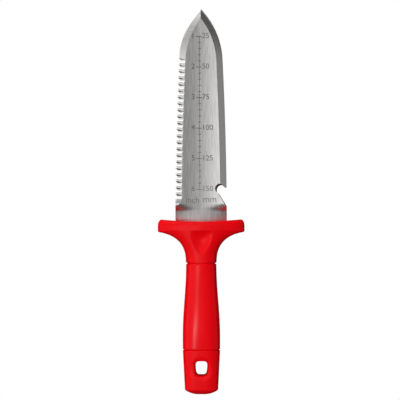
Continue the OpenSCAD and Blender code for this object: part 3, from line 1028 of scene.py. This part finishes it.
def floor_material():
    """Matt paper. The camera sees it plain white, a glossy ray sees a card of light that fades towards
    the right and the rear, and all other rays find it dark."""
    made, tree = new_material("floor_paper")
    path = node(tree, "ShaderNodeLightPath")
    seen = node(tree, "ShaderNodeEmission", {"Color": WHITE, "Strength": 1.0})
    paper = node(tree, "ShaderNodeBsdfDiffuse", {"Color": (*linear("6C6C6C"), 1)})
    here = node(tree, "ShaderNodeTexCoord")
    axes = node(tree, "ShaderNodeSeparateXYZ", {0: here.outputs["Object"]})
    card = FLOOR_GLOSS
    for axis, low, high, at_low, at_high in FLOOR_FADES:
        fade = node(
            tree,
            "ShaderNodeMapRange",
            {
                "Value": axes.outputs[axis],
                "From Min": low,
                "From Max": high,
                "To Min": at_low,
                "To Max": at_high,
            },
        )
        card = node(tree, "ShaderNodeMath", {0: card, 1: fade.outputs[0]}, operation="MULTIPLY").outputs[0]
    shine = node(tree, "ShaderNodeEmission", {"Color": WHITE, "Strength": card})
    both = node(
        tree,
        "ShaderNodeMixShader",
        {0: path.outputs["Is Glossy Ray"], 1: paper.outputs[0], 2: shine.outputs[0]},
    )
    both = node(
        tree,
        "ShaderNodeMixShader",
        {0: path.outputs["Is Camera Ray"], 1: both.outputs[0], 2: seen.outputs[0]},
    )
    node(tree, "ShaderNodeOutputMaterial", {"Surface": both.outputs[0]})
    return made


def sky():
    """A world of soft panels, which the camera sees plain white."""
    world = bpy.data.worlds.new("studio")
    world.use_nodes = True
    tree = world.node_tree
    tree.nodes.clear()
    here = node(tree, "ShaderNodeTexCoord")
    axes = node(tree, "ShaderNodeSeparateXYZ", {0: here.outputs["Generated"]})
    level = 0.0
    for panel in SKY_PANELS:
        part = 1.0
        for axis, start, end, at_start, at_end in panel:
            fade = node(
                tree,
                "ShaderNodeMapRange",
                {
                    "Value": axes.outputs[axis],
                    "From Min": start,
                    "From Max": end,
                    "To Min": at_start,
                    "To Max": at_end,
                },
                interpolation_type="SMOOTHSTEP",
            )
            product = node(tree, "ShaderNodeMath", {0: part, 1: fade.outputs[0]}, operation="MULTIPLY")
            part = product.outputs[0]
        level = node(tree, "ShaderNodeMath", {0: level, 1: part}, operation="ADD").outputs[0]
    path = node(tree, "ShaderNodeLightPath")
    light = node(tree, "ShaderNodeBackground", {"Color": WHITE, "Strength": level})
    seen = node(tree, "ShaderNodeBackground", {"Color": WHITE, "Strength": 1.0})
    both = node(
        tree,
        "ShaderNodeMixShader",
        {0: path.outputs["Is Camera Ray"], 1: light.outputs[0], 2: seen.outputs[0]},
    )
    node(tree, "ShaderNodeOutputWorld", {"Surface": both.outputs[0]})
    return world


def add_lamps(sizes):
    """The three lamps, two of which light the plastic alone and show in its gloss."""
    lit = bpy.data.collections.new("lit_plastic")
    for piece in PLASTIC_PIECES:
        lit.objects.link(bpy.data.objects[piece])
    for name, location, width, length, setting, plastic_only in LAMPS:
        lamp = bpy.data.lights.new(name, "AREA")
        lamp.shape, lamp.size, lamp.size_y = "RECTANGLE", width, length
        lamp.energy = getattr(sizes, setting)
        made = add_object(name, lamp)
        made.location = location
        made.rotation_mode = "QUATERNION"
        made.rotation_quaternion = (Vector(LAMP_TARGET) - made.location).to_track_quat("-Z", "Y")
        made.visible_glossy = plastic_only
        if plastic_only:
            made.light_linking.receiver_collection = lit


def add_camera(sizes):
    """The camera, straight above the tool, with a lens that gives a picture element its size."""
    lens = bpy.data.cameras.new("camera")
    lens.sensor_width = SENSOR_MM
    lens.lens = sizes.camera_height / sizes.pixel * SENSOR_MM / FRAME_PIXELS
    lens.clip_start, lens.clip_end = 0.05, 20
    camera = add_object("camera", lens)
    across, along = CAMERA_ACROSS * sizes.pixel, CAMERA_ALONG * sizes.pixel - CAMERA_BACK
    camera.location = (across, along, Z_MID + sizes.camera_height)
    camera.rotation_euler = (0, 0, sizes.roll)
    return camera


class TROWEL_OT_stage(bpy.types.Operator):
    """Set the floor, the soft studio light and the camera"""

    bl_idname = "trowel.stage"
    bl_label = "Studio"

    def execute(self, context):
        sizes = context.scene.trowel_stage
        scene = context.scene
        scene.view_settings.view_transform = "Standard"
        paper = flat_mesh("floor", [rectangle(-FLOOR_HALF, FLOOR_HALF, -FLOOR_HALF, FLOOR_HALF)])
        floor = add_object("floor", paper)
        floor.data.materials.append(floor_material())
        scene.world = sky()
        add_lamps(sizes)
        scene.camera = add_camera(sizes)
        return {"FINISHED"}


# ---------- add-on ----------


class TROWEL_PT_panel(bpy.types.Panel):
    """The trowel's settings and pieces"""

    bl_idname = "TROWEL_PT_panel"
    bl_label = "Digging Knife Trowel"
    bl_space_type = "VIEW_3D"
    bl_region_type = "UI"
    bl_category = "Trowel"

    def draw(self, context):
        for group in (context.scene.trowel_blade, context.scene.trowel_handle, context.scene.trowel_stage):
            box = self.layout.box()
            for name in group.__annotations__:
                box.prop(group, name)
        for operator in OPERATORS:
            self.layout.operator(operator.bl_idname)


GROUPS = (TROWEL_PG_blade, TROWEL_PG_handle, TROWEL_PG_stage)
OPERATORS = (
    TROWEL_OT_blade,
    TROWEL_OT_scale,
    TROWEL_OT_core,
    TROWEL_OT_guard,
    TROWEL_OT_grip,
    TROWEL_OT_cap,
    TROWEL_OT_stage,
)


def register():
    for kind in (*GROUPS, *OPERATORS, TROWEL_PT_panel):
        bpy.utils.register_class(kind)
    bpy.types.Scene.trowel_blade = bpy.props.PointerProperty(type=TROWEL_PG_blade)
    bpy.types.Scene.trowel_handle = bpy.props.PointerProperty(type=TROWEL_PG_handle)
    bpy.types.Scene.trowel_stage = bpy.props.PointerProperty(type=TROWEL_PG_stage)


def unregister():
    del bpy.types.Scene.trowel_stage, bpy.types.Scene.trowel_handle, bpy.types.Scene.trowel_blade
    for kind in reversed((*GROUPS, *OPERATORS, TROWEL_PT_panel)):
        bpy.utils.unregister_class(kind)


def main():
    register()
    bpy.ops.trowel.blade()
    bpy.ops.trowel.scale()
    bpy.ops.trowel.core()
    bpy.ops.trowel.guard()
    bpy.ops.trowel.grip()
    bpy.ops.trowel.cap()
    bpy.ops.trowel.stage()


if __name__ == "__main__":
    main()
